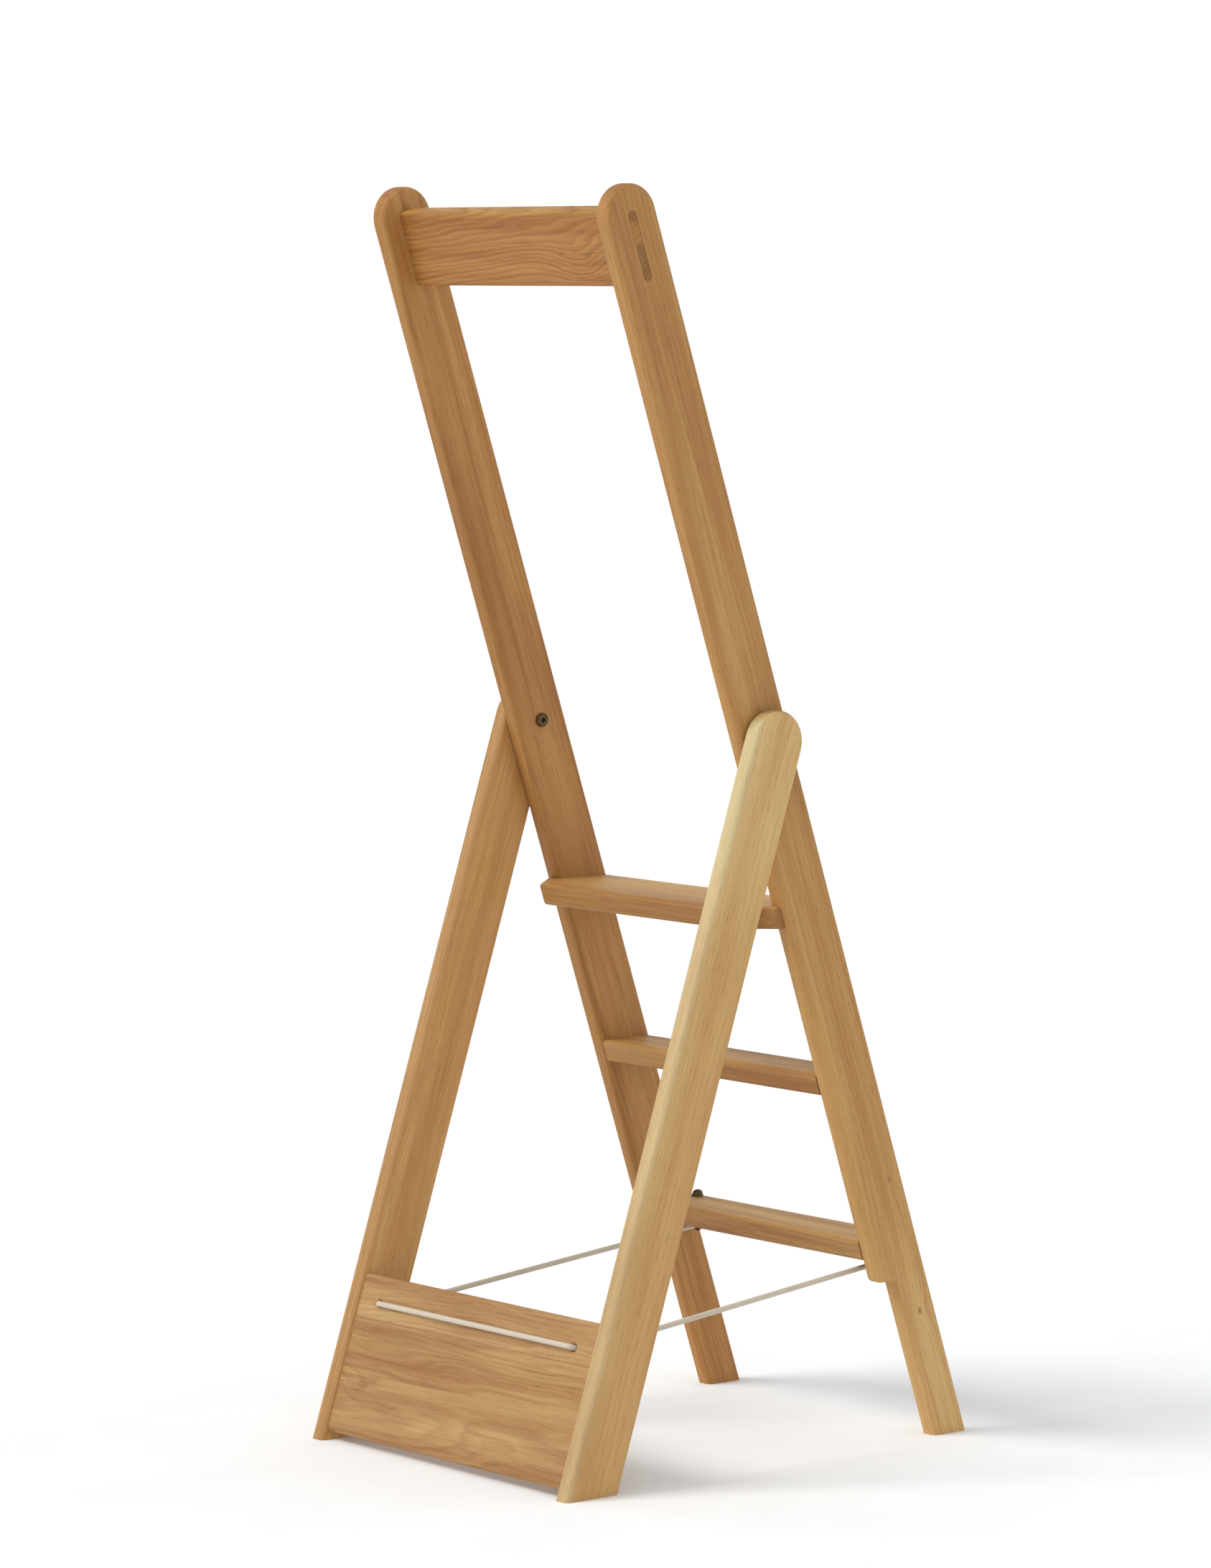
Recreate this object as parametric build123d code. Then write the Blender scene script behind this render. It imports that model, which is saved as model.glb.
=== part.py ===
"""Folding library ladder in oak: a climbing frame with a hand rail, hinged to a support frame.

Millimetres, +Z up. The origin is on the floor, midway between the two frames' feet, under the pivot.
The climbing side faces -Y and the support frame stands on the +Y side. X runs along the treads.

Each frame is drawn upright in its own coordinates, with the pivot at the origin, Z along its timbers
and +Y towards the back of the ladder. CLIMBING and SUPPORT then lean it into its place.
"""

import math
import os

from build123d import *

# Stance
PIVOT_HEIGHT = 762.0
LEAN = 18.25  # degrees from upright, the same for both frames
CLIMBING = Location((0, 0, PIVOT_HEIGHT), (-LEAN, 0, 0))
SUPPORT = Location((0, 0, PIVOT_HEIGHT), (LEAN, 0, 0))

# Stiles and legs: one timber section
TIMBER_THICK = 20.0
TIMBER_WIDE = 66.0
TIMBER_HALF = TIMBER_WIDE / 2
LONG_EDGE_ROUND = 5.0
STILE_INSIDE = 178.0  # from the middle plane to a stile's inner face
STILE_OUTSIDE = STILE_INSIDE + TIMBER_THICK
PIVOT_GAP = 1.5
LEG_INSIDE = STILE_OUTSIDE + PIVOT_GAP
LEG_OUTSIDE = LEG_INSIDE + TIMBER_THICK
STILE_ABOVE_PIVOT = 605.0

# Cut-back at the stiles' feet that takes the kick board when the ladder is folded
NOTCH_DEPTH = 21.0
NOTCH_TOP = 174.0  # height above the floor
NOTCH_SHOULDER_ROUND = 7.0
NOTCH_ROOT_ROUND = 4.0

# Treads
TREAD_TOPS = {"bottom": 221.0, "middle": 404.0, "top": 587.0}
TREAD_THICK = 24.0
TREAD_SETBACK = 1.0
TREAD_EDGE_ROUND = 4.0
TOP_TREAD_OVERHANG = 44.0  # behind the stiles' rear faces
LAP_END = 5.0  # depth of the overhang where it ends behind a stile
LAP_INSET = 5.0  # from the stile's outer face to the end of the overhang
LAP_END_ROUND = 5.0
LAP_CORNER_ROUND = 9.0

# Hand rail
RAIL_ABOVE_PIVOT = 540.0
RAIL_TALL = 82.0
RAIL_THICK = 20.0
RAIL_EDGE_ROUND = 4.0
RAIL_TENON_TALL = 74.0
RAIL_TENON_THICK = 10.0

# Kick board between the legs
BOARD_TALL = 174.0
BOARD_THICK = 16.0
BOARD_SETBACK = 3.5
BOARD_TOP_BELOW_PIVOT = 627.0
BOARD_EDGE_ROUND = 3.0

# Loose tenons that join the treads and the board to the uprights
LOOSE_TENON_WIDE = 34.0
LOOSE_TENON_THICK = 8.0
TENON_IN_UPRIGHT = 14.0
TENON_IN_BOARD = 28.0
TREAD_TENON_DEPTH = 6.0  # behind the stile's centre line, clear of the eye bolts
BOARD_TENON_SPREAD = 45.0  # each side of the board's middle

# Pivot: a bolt turns in a bush in the stile and is screwed into a sleeve in the leg
BOLT_RADIUS = 4.0
BUSH_BORE = 4.05
BUSH_RADIUS = 6.0
SLEEVE_RADIUS = 6.0
SLEEVE_LONG = 15.0
BOLT_IN_SLEEVE = 14.0
BOLT_HEAD_RADIUS = 7.5
BOLT_HEAD_TALL = 3.6
BOLT_HEAD_ROUND = 1.6
BOLT_SOCKET_FLATS = 5.0
BOLT_SOCKET_DEEP = 2.4
HEAD_CLEARANCE = 0.1
WASHER_RADIUS = 9.0
WASHER_BORE = 4.2
WASHER_THICK = 1.4

# Limit cord: one length, led through the board and stopped under the bottom tread
CORD_RADIUS = 3.0
CORD_X = 166.0
CORD_HOLE_RADIUS = 3.5
CORD_HOLE_MOUTH = 4.0
CORD_BELOW_PIVOT = 657.0
CORD_OFF_BOARD = 0.2
CORD_CORNER = 7.2
CORD_BREAKOUT = 16.0
CORD_TAIL = 6.0  # beyond its stop

# Crimped stops on the cord's ends, which bear on the eyes
STOP_RADIUS = 5.5
STOP_BORE = 3.1
STOP_LONG = 11.0
STOP_ROUND = 1.7

# Eye bolts that hold the cord's ends
EYE_X = 156.0
EYE_Y = -203.5
EYE_RING_RADIUS = 5.2
EYE_WIRE_RADIUS = 1.6
EYE_DROP = 8.5  # from the tread's underside to the ring's centre
EYE_SHANK_RADIUS = 2.5
EYE_HOLE_RADIUS = 2.6
NUT_RADIUS = 6.5
NUT_TALL = 7.4
NUT_DOME_ROUND = 4.5
NUT_THREAD = 4.5

SIDES = {"left": -1, "right": 1}
UNDERSIDE = TREAD_TOPS["bottom"] - TREAD_THICK
EYE_HEIGHT = UNDERSIDE - EYE_DROP
STOP_START = 2 * EYE_WIRE_RADIUS  # from the eye's centre
BOARD_REAR = TIMBER_HALF - BOARD_SETBACK
BOARD_FRONT = BOARD_REAR - BOARD_THICK
BOARD_MIDDLE = -BOARD_TOP_BELOW_PIVOT - BOARD_TALL / 2


def along(height, depth, lean=LEAN):
    """How far up a leaning timber, from the pivot, its line at this depth reaches a height."""
    angle = math.radians(lean)
    return (height - PIVOT_HEIGHT + depth * math.sin(angle)) / math.cos(angle)


def stile_y(height, depth):
    """The ladder's Y where the climbing frame's line at this depth reaches a height."""
    angle = math.radians(LEAN)
    return along(height, depth) * math.sin(angle) + depth * math.cos(angle)


def prism(outline, start, end):
    """A flat outline drawn in the YZ plane, made solid along X from start to end."""
    return Pos(start, 0, 0) * extrude(Plane.YZ * outline, amount=end - start, dir=(1, 0, 0))


def mirrored(solid, side):
    """The same piece on the ladder's left (-X) or right (+X) side."""
    return solid if side > 0 else mirror(solid, Plane.YZ)


def slot_bar(long, thick, start, end, upright=False):
    """A bar along X with a round-ended slot section, lying flat or standing upright."""
    return prism(SlotOverall(long, thick, rotation=90 if upright else 0), start, end)


def round_bar(radius, start, end):
    """A round bar along X."""
    return prism(Circle(radius), start, end)


def round_long_edges(solid, radius):
    """Rounds the four edges that run along X."""
    return fillet(solid.edges().filter_by(Axis.X), radius)


def round_outline(solid, radius):
    """Rounds a flat piece's outline on both of its broad faces, all but the cut foot."""
    broad = solid.faces().filter_by(Axis.X)
    foot = solid.faces().sort_by(Axis.Z)[0].edges()
    rims = [edge for face in broad for edge in face.edges() if edge not in foot]
    return fillet(rims, radius)


def loose_tenon(upright=False):
    """A loose tenon on the +X side, with its shoulder line at x = 0 and the upright at +X."""
    return slot_bar(LOOSE_TENON_WIDE, LOOSE_TENON_THICK, -TENON_IN_BOARD, TENON_IN_UPRIGHT, upright)


def tread_tenon(name):
    """The loose tenon at a tread's right end, level with the tread."""
    middle = TREAD_TOPS[name] - TREAD_THICK / 2
    return Pos(STILE_INSIDE, stile_y(middle, TREAD_TENON_DEPTH), middle) * loose_tenon()


def board_tenons():
    """The two loose tenons at the board's right end, in the support frame's coordinates."""
    depth = (BOARD_REAR + BOARD_FRONT) / 2
    rises = (-BOARD_TENON_SPREAD, BOARD_TENON_SPREAD)
    return [Pos(LEG_INSIDE, depth, BOARD_MIDDLE + rise) * loose_tenon(True) for rise in rises]


def stile_blank():
    """A stile without its mortises: round top, level foot, cut back behind the kick board."""
    crown = STILE_ABOVE_PIVOT - TIMBER_HALF
    cut = TIMBER_HALF - NOTCH_DEPTH
    outline = Polygon(
        (-TIMBER_HALF, along(0, -TIMBER_HALF)),
        (cut, along(0, cut)),
        (cut, along(NOTCH_TOP, cut)),
        (TIMBER_HALF, along(NOTCH_TOP, TIMBER_HALF)),
        (TIMBER_HALF, crown),
        (-TIMBER_HALF, crown),
        align=None,
    )
    outline = round_corner(outline, cut, along(NOTCH_TOP, cut), NOTCH_ROOT_ROUND)
    shoulder = along(NOTCH_TOP, TIMBER_HALF)
    outline = round_corner(outline, TIMBER_HALF, shoulder, NOTCH_SHOULDER_ROUND)
    outline += Pos(0, crown) * Circle(TIMBER_HALF)
    return round_outline(prism(outline, STILE_INSIDE, STILE_OUTSIDE), LONG_EDGE_ROUND)


def round_corner(outline, x, y, radius):
    """Rounds the corner of a flat outline that lies at (x, y)."""
    corner = outline.vertices().sort_by_distance((x, y, 0))[0]
    return fillet(corner, radius)


def stile():
    """The right stile, in place."""
    mortise = slot_bar(
        RAIL_TENON_TALL, RAIL_TENON_THICK, STILE_INSIDE, STILE_OUTSIDE, upright=True
    )
    blank = stile_blank()
    blank -= Pos(0, 0, RAIL_ABOVE_PIVOT) * mortise
    blank -= round_bar(BUSH_RADIUS, STILE_INSIDE, STILE_OUTSIDE)
    placed = CLIMBING * blank
    for name in TREAD_TOPS:
        placed -= tread_tenon(name)
    return placed


def leg():
    """The right leg of the support frame, in place. Its round top is centred on the pivot."""
    outline = Polygon(
        (-TIMBER_HALF, along(0, -TIMBER_HALF, -LEAN)),
        (TIMBER_HALF, along(0, TIMBER_HALF, -LEAN)),
        (TIMBER_HALF, 0),
        (-TIMBER_HALF, 0),
        align=None,
    )
    outline += Circle(TIMBER_HALF)
    blank = round_outline(prism(outline, LEG_INSIDE, LEG_OUTSIDE), LONG_EDGE_ROUND)
    blank -= round_bar(SLEEVE_RADIUS, LEG_INSIDE, LEG_INSIDE + SLEEVE_LONG)
    for tenon in board_tenons():
        blank -= tenon
    return SUPPORT * blank


def rail():
    """The hand rail, with through tenons that end flush with the stiles' outer faces."""
    body = Box(2 * STILE_INSIDE, RAIL_THICK, RAIL_TALL)
    body = round_long_edges(body, RAIL_EDGE_ROUND)
    body += slot_bar(
        RAIL_TENON_TALL, RAIL_TENON_THICK, -STILE_OUTSIDE, STILE_OUTSIDE, upright=True
    )
    return CLIMBING * Pos(0, 0, RAIL_ABOVE_PIVOT) * body


def tread_bar(top, rear, half_length):
    """A level bar whose front and rear faces lean with the stiles, its long edges rounded."""
    front = TREAD_SETBACK - TIMBER_HALF
    bottom = top - TREAD_THICK
    section = Polygon(
        (stile_y(top, front), top),
        (stile_y(top, rear), top),
        (stile_y(bottom, rear), bottom),
        (stile_y(bottom, front), bottom),
        align=None,
    )
    return prism(section, -half_length, half_length)


def flush_tread(name):
    """A tread that fits between the stiles."""
    bar = tread_bar(TREAD_TOPS[name], TIMBER_HALF - TREAD_SETBACK, STILE_INSIDE)
    return with_tenon_mortises(round_long_edges(bar, TREAD_EDGE_ROUND), name)


def with_tenon_mortises(tread, name):
    """A tread with its loose tenons' mortises cut in both ends."""
    for side in SIDES.values():
        tread -= mirrored(tread_tenon(name), side)
    return tread


def top_tread():
    """The standing tread: it reaches behind the stiles, laps them, and tapers at its corners."""
    rear = TIMBER_HALF + TOP_TREAD_OVERHANG
    end = STILE_OUTSIDE - LAP_INSET
    lap = TIMBER_HALF + LAP_END
    taper = rear - lap
    front = -TIMBER_WIDE
    plan = Polygon(
        (-STILE_INSIDE, front),
        (STILE_INSIDE, front),
        (STILE_INSIDE, TIMBER_HALF),
        (end, TIMBER_HALF),
        (end, lap),
        (end - taper, rear),
        (taper - end, rear),
        (-end, lap),
        (-end, TIMBER_HALF),
        (-STILE_INSIDE, TIMBER_HALF),
        align=None,
    )
    for side in SIDES.values():
        plan = round_corner(plan, side * end, lap, LAP_END_ROUND)
        plan = round_corner(plan, side * (end - taper), rear, LAP_CORNER_ROUND)
    column = CLIMBING * extrude(plan, amount=TIMBER_WIDE * 5, both=True)
    tread = tread_bar(TREAD_TOPS["top"], rear, STILE_OUTSIDE) & column
    level = tread.faces().filter_by(Plane.XY).edges()
    rims = [edge for edge in level if not touches_stile(edge)]
    return with_tenon_mortises(fillet(rims, TREAD_EDGE_ROUND), "top")


def touches_stile(edge):
    """True for an edge of a tread's faces that lie against a stile."""
    depth = (CLIMBING.inverse() * Pos(edge.center())).position.Y
    at_inner_face = abs(edge.center().X) > STILE_INSIDE - 1 and depth < TIMBER_HALF
    at_rear_face = edge.length < TIMBER_WIDE and abs(depth - TIMBER_HALF) < 1
    return at_inner_face or at_rear_face


def kick_board():
    """The board between the legs, with the cord's two holes rounded over at both mouths."""
    board = Box(2 * LEG_INSIDE, BOARD_THICK, BOARD_TALL)
    board = round_long_edges(board, BOARD_EDGE_ROUND)
    board = Pos(0, (BOARD_REAR + BOARD_FRONT) / 2, BOARD_MIDDLE) * board
    for side in SIDES.values():
        centre = Pos(side * CORD_X, (BOARD_REAR + BOARD_FRONT) / 2, -CORD_BELOW_PIVOT)
        board -= centre * Rot(90, 0, 0) * Cylinder(CORD_HOLE_RADIUS, 2 * BOARD_THICK)
    mouths = [
        edge
        for edge in board.edges().filter_by(GeomType.CIRCLE)
        if abs(edge.radius - CORD_HOLE_RADIUS) < 0.01
    ]
    board = fillet(mouths, CORD_HOLE_MOUTH)
    for side in SIDES.values():
        for tenon in board_tenons():
            board -= mirrored(tenon, side)
    return SUPPORT * board


def pivot_bush():
    """A plain brass bush, pressed into the stile."""
    ring = round_bar(BUSH_RADIUS, STILE_INSIDE, STILE_OUTSIDE)
    return CLIMBING * (ring - round_bar(BUSH_BORE, STILE_INSIDE, STILE_OUTSIDE))


def pivot_sleeve():
    """A blind threaded sleeve, sunk in the leg's inner face."""
    ring = round_bar(SLEEVE_RADIUS, LEG_INSIDE, LEG_INSIDE + SLEEVE_LONG)
    return SUPPORT * (ring - round_bar(BOLT_RADIUS, LEG_INSIDE, LEG_INSIDE + BOLT_IN_SLEEVE))


def pivot_bolt():
    """A low-headed bolt whose head shows on the stile's inner face."""
    seat = STILE_INSIDE - HEAD_CLEARANCE
    head = round_bar(BOLT_HEAD_RADIUS, seat - BOLT_HEAD_TALL, seat)
    head = fillet(head.edges().sort_by(Axis.X)[0], BOLT_HEAD_ROUND)
    bolt = head + round_bar(BOLT_RADIUS, seat, LEG_INSIDE + BOLT_IN_SLEEVE)
    socket = RegularPolygon(BOLT_SOCKET_FLATS / 2, 6, major_radius=False)
    bolt -= prism(socket, seat - BOLT_HEAD_TALL, seat - BOLT_HEAD_TALL + BOLT_SOCKET_DEEP)
    return SUPPORT * bolt


def pivot_washer():
    """The thin washer that keeps the leg off the stile."""
    start = LEG_INSIDE - WASHER_THICK
    disc = round_bar(WASHER_RADIUS, start, LEG_INSIDE)
    return SUPPORT * (disc - round_bar(WASHER_BORE, start, LEG_INSIDE))


def eye_bolt():
    """A ring under the bottom tread, on a shank that goes up through it."""
    ring = Rot(90, 0, 0) * Torus(EYE_RING_RADIUS, EYE_WIRE_RADIUS)
    top = TREAD_TOPS["bottom"] + NUT_THREAD - EYE_HEIGHT
    shank = Pos(0, 0, EYE_RING_RADIUS) * extrude(Circle(EYE_SHANK_RADIUS), top - EYE_RING_RADIUS)
    return Pos(EYE_X, EYE_Y, EYE_HEIGHT) * (ring + shank)


def eye_hole():
    """The shank's hole through the bottom tread."""
    return Pos(EYE_X, EYE_Y, UNDERSIDE) * Cylinder(EYE_HOLE_RADIUS, 4 * TREAD_THICK)


def dome_nut():
    """The domed nut that closes the eye bolt on top of the tread."""
    body = extrude(Circle(NUT_RADIUS), NUT_TALL)
    body = fillet(body.edges().sort_by(Axis.Z)[-1], NUT_DOME_ROUND)
    body -= extrude(Circle(EYE_SHANK_RADIUS), NUT_THREAD)
    return Pos(EYE_X, EYE_Y, TREAD_TOPS["bottom"]) * body


def tube(points, radii, name):
    """A round cord along straight runs joined by tangent arcs. Prints its length and arcs."""
    path = FilletPolyline(*points, radius=radii)
    section = Plane(origin=path @ 0, z_dir=path % 0) * Circle(CORD_RADIUS)
    cord = sweep(section, path=path)
    share = cord.volume / (math.pi * CORD_RADIUS**2 * path.length)
    print(f"{name}: length {path.length:.1f} mm, arcs {radii} mm, volume share {share:.4f}")
    return cord


def cord_rear_span():
    """The stretch across the board's rear face, with its ends turned into the two holes."""
    within = (BOARD_REAR + BOARD_FRONT) / 2
    behind = BOARD_REAR + CORD_RADIUS + CORD_OFF_BOARD
    points = [
        (-CORD_X, within, -CORD_BELOW_PIVOT),
        (-CORD_X, behind, -CORD_BELOW_PIVOT),
        (CORD_X, behind, -CORD_BELOW_PIVOT),
        (CORD_X, within, -CORD_BELOW_PIVOT),
    ]
    return SUPPORT * tube(points, [CORD_CORNER, CORD_CORNER], "cord_rear_span")


def support_point(depth, rise):
    """A point of the support frame's middle plane, in the ladder's coordinates."""
    return (SUPPORT * Pos(CORD_X, depth, rise)).position


def cord_line():
    """Where the taut side span leaves the board, where it passes the eye, and its direction."""
    mouth = support_point(BOARD_FRONT, -CORD_BELOW_PIVOT)
    eye = Vector(EYE_X, EYE_Y, EYE_HEIGHT)
    return mouth, eye, (eye - mouth).normalized()


def cord_side_span():
    """The right-hand stretch: out of the board, taut to the eye, through it and through its stop."""
    mouth, eye, direction = cord_line()
    inside = support_point((BOARD_REAR + BOARD_FRONT) / 2, -CORD_BELOW_PIVOT)
    end = eye + direction * (STOP_START + STOP_LONG + CORD_TAIL)
    return tube([inside, mouth, end], [CORD_BREAKOUT], "cord_side_span")


def cord_stop():
    """The metal sleeve crimped on the cord's end, in front of the eye."""
    _, eye, direction = cord_line()
    sleeve = fillet(extrude(Circle(STOP_RADIUS), STOP_LONG).edges(), STOP_ROUND)
    sleeve -= extrude(Circle(STOP_BORE), STOP_LONG)
    return Plane(origin=eye + direction * STOP_START, z_dir=direction) * sleeve


def pair(name, solid):
    """Left and right copies of a piece that is drawn on the right-hand side."""
    return {f"{name}_{side}": mirrored(solid, sign) for side, sign in SIDES.items()}


def build():
    """Every node of the ladder, by name."""
    bottom = flush_tread("bottom")
    for side in SIDES.values():
        bottom -= mirrored(eye_hole(), side)
    nodes = {
        "top_rail": rail(),
        "top_tread": top_tread(),
        "middle_tread": flush_tread("middle"),
        "bottom_tread": bottom,
        "kick_board": kick_board(),
        "cord_rear_span": cord_rear_span(),
    }
    nodes.update(pair("stile", stile()))
    nodes.update(pair("leg", leg()))
    for name in TREAD_TOPS:
        nodes.update(pair(f"{name}_tread_tenon", tread_tenon(name)))
    nodes.update(pair("board_tenons", Compound(children=[SUPPORT * t for t in board_tenons()])))
    nodes.update(pair("pivot_bush", pivot_bush()))
    nodes.update(pair("pivot_sleeve", pivot_sleeve()))
    nodes.update(pair("pivot_bolt", pivot_bolt()))
    nodes.update(pair("pivot_washer", pivot_washer()))
    nodes.update(pair("cord_eye", eye_bolt()))
    nodes.update(pair("cord_eye_nut", dome_nut()))
    nodes.update(pair("cord_side_span", cord_side_span()))
    nodes.update(pair("cord_stop", cord_stop()))
    return nodes


os.makedirs("parts", exist_ok=True)
for node, shape in build().items():
    export_step(shape, f"parts/{node}.step")
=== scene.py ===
"""Looks for the folding library ladder: oiled oak, dark bronze fittings and a braided cord.

Everything is in metres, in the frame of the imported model. The camera stands behind the ladder on its
left side, as the object is usually shown.
"""

import math
from collections import namedtuple

import bpy
from mathutils import Euler, Matrix, Vector


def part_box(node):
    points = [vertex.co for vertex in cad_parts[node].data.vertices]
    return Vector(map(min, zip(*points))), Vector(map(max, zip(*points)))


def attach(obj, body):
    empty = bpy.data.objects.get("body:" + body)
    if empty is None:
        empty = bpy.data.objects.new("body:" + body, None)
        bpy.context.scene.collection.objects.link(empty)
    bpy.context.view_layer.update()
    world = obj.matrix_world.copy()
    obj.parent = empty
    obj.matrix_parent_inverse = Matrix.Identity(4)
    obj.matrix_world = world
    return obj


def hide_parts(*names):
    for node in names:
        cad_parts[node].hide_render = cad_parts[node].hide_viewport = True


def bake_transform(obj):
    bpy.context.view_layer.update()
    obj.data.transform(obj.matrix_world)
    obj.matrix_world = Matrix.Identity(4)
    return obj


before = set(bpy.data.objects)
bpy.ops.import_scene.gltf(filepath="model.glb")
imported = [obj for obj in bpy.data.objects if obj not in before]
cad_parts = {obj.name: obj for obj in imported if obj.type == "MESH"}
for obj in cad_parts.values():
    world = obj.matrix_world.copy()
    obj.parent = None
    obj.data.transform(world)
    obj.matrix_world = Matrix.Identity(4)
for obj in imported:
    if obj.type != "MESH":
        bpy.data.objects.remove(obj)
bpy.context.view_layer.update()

# Stance, as in the CAD model
PIVOT = Vector((0, 0, 0.762))
LEAN = math.radians(18.25)
SIDES = {"left": -1, "right": 1}


# ---------------------------------------------------------------- node helpers


class Nodes:
    """A short way to build a node tree: every call makes one node and links its inputs."""

    def __init__(self, tree):
        self.tree = tree

    def add(self, kind, inputs=None, **settings):
        """A new node of a kind, with its settings, and with its inputs set or linked."""
        node = self.tree.nodes.new(kind)
        for name, value in settings.items():
            setattr(node, name, value)
        for key, value in (inputs or {}).items():
            self.set(node.inputs[key], value)
        return node

    def set(self, socket, value):
        """Links another node's output to the socket, or gives it a plain value."""
        if isinstance(value, bpy.types.NodeSocket):
            self.tree.links.new(value, socket)
        else:
            socket.default_value = value

    def math(self, operation, a, b=0.0, c=0.0):
        return self.add("ShaderNodeMath", {0: a, 1: b, 2: c}, operation=operation).outputs[0]

    def vector(self, operation, a, b=(0, 0, 0), out="Vector"):
        return self.add("ShaderNodeVectorMath", {0: a, 1: b}, operation=operation).outputs[out]

    def split(self, vector):
        """The outputs X, Y and Z of a vector."""
        return self.add("ShaderNodeSeparateXYZ", {0: vector}).outputs

    def join(self, *values):
        """A vector of the values, with 0 where one is left out."""
        return self.add("ShaderNodeCombineXYZ", dict(enumerate(values))).outputs[0]

    def noise(self, vector, scale, detail=2.0, roughness=0.5):
        inputs = {"Vector": vector, "Scale": scale, "Detail": detail, "Roughness": roughness}
        return self.add("ShaderNodeTexNoise", inputs).outputs["Fac"]

    def ramp(self, factor, *stops):
        """A grey ramp from (position, grey) stops."""
        node = self.add("ShaderNodeValToRGB", {"Fac": factor})
        elements = node.color_ramp.elements
        while len(elements) < len(stops):
            elements.new(0.5)
        for element, (position, grey) in zip(elements, stops):
            element.position = position
            element.color = (grey, grey, grey, 1)
        return node.outputs["Color"]

    def range(self, value, low, high, to_low=0.0, to_high=1.0, smooth=False):
        """The value, where low becomes to_low and high becomes to_high, and no further."""
        kind = "SMOOTHSTEP" if smooth else "LINEAR"
        inputs = {"Value": value, "From Min": low, "From Max": high, "To Min": to_low, "To Max": to_high}
        return self.add("ShaderNodeMapRange", inputs, interpolation_type=kind).outputs["Result"]

    def between(self, value, low, high, soft, smooth=False):
        """1 from low to high and 0 outside, with soft ends."""
        rise = self.range(value, low - soft, low + soft, smooth=smooth)
        fall = self.range(value, high + soft, high - soft, smooth=smooth)
        return self.math("MULTIPLY", rise, fall)

    def mix(self, factor, a, b, blend="MIX"):
        """The colour a, with a share of b over it."""
        node = self.add("ShaderNodeMix", data_type="RGBA", blend_type=blend)
        for index, value in ((0, factor), (6, a), (7, b)):
            self.set(node.inputs[index], value)
        return node.outputs[2]

    def stain(self, colour, other, field, low, high, most=1.0, smooth=False):
        """The colour, with another one over it: none where a field is low, and most where it is high."""
        return self.mix(self.range(field, low, high, 0, most, smooth=smooth), colour, other)

    def bump(self, shader, height, strength, distance):
        """Fine relief on a shader's surface."""
        inputs = {"Strength": strength, "Distance": distance, "Height": height}
        self.set(shader.inputs["Normal"], self.add("ShaderNodeBump", inputs).outputs[0])


def new_material(name, **settings):
    """A material, its nodes helper and its Principled shader, with the shader's plain settings set."""
    material = bpy.data.materials.new(name)
    material.use_nodes = True
    tree = material.node_tree
    tree.nodes.clear()
    nodes = Nodes(tree)
    shader = nodes.add("ShaderNodeBsdfPrincipled")
    for setting, value in settings.items():
        shader.inputs[setting.replace("_", " ")].default_value = value
    output = nodes.add("ShaderNodeOutputMaterial")
    tree.links.new(shader.outputs["BSDF"], output.inputs["Surface"])
    return material, nodes, shader


def srgb(red, green, blue):
    """A screen colour, 0 to 255, as the linear values a shader takes, by the standard curve."""
    def linear(value):
        value /= 255
        return value / 12.92 if value <= 0.04045 else ((value + 0.055) / 1.055) ** 2.4

    return (linear(red), linear(green), linear(blue), 1)


# ---------------------------------------------------------------- oak

PORE_BROWN = srgb(112, 72, 38)
KNOT_BROWN = srgb(96, 58, 30)
END_BROWN = srgb(128, 86, 48)
TENON_BROWN = srgb(84, 52, 30)

# Tints of oiled oak: its pale, its usual and its darkest colour
LIGHT_OAK = (srgb(208, 173, 116), srgb(197, 157, 102), srgb(166, 117, 68))
WARM_OAK = (srgb(198, 156, 96), srgb(180, 132, 76), srgb(143, 89, 45))
DARK_OAK = (srgb(176, 130, 76), srgb(158, 108, 58), srgb(122, 70, 32))
TREAD_OAK = (srgb(190, 150, 92), srgb(168, 122, 68), srgb(130, 80, 40))
BOARD_OAK = (srgb(186, 150, 98), srgb(165, 124, 75), srgb(133, 84, 46))

# How early the wood is, from 0 to 1, at each part of a year's ring
YEAR = ((0.0, 0.10), (0.14, 1.0), (0.42, 0.62), (0.72, 0.12), (0.94, 0.0), (1.0, 0.10))
YEAR_SCATTER = 0.618  # tells one year from the next

WAVE_STRETCH = 0.16  # a wave of the rings is as wide as this share of its length along the grain
WAVE_REACH = (2.2, 1.6)  # how far it swings in X and in Y, as multiples of the timber's wave

OAK_ROUGHNESS = 0.42  # the next three are added to it
FIBRE_ROUGHNESS = 0.16
PORE_ROUGHNESS = 0.2
END_ROUGHNESS = 0.2
LATE_PORES = 0.25  # how strong the pores of late wood are, against those of early wood
PORE_RELIEF = -1.0
FIBRE_RELIEF = 0.35
EARLY_RELIEF = -0.25
PORE_DARK = 0.38

END_ON = (0.62, 0.93)  # how squarely a face cuts the grain where it starts to be, and is, all end grain
END_DARK = 0.4
TENON_DARK = 1.1  # as a multiple of how much end grain there is
TENON_SOFT = 0.002

SEED_SHIFT = (1.7, 0.9, 3.1)  # how far apart in the tree seeds 0 and 1 are
STAVE_SHIFT = (0.21, 0.035, 0.6)  # how far from the first stave a second one was cut
STAVE_RED = 0.12
SEAM_HALF = 0.0003
SEAM_FADE = 0.0012
SEAM_DARK = 0.3

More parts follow.
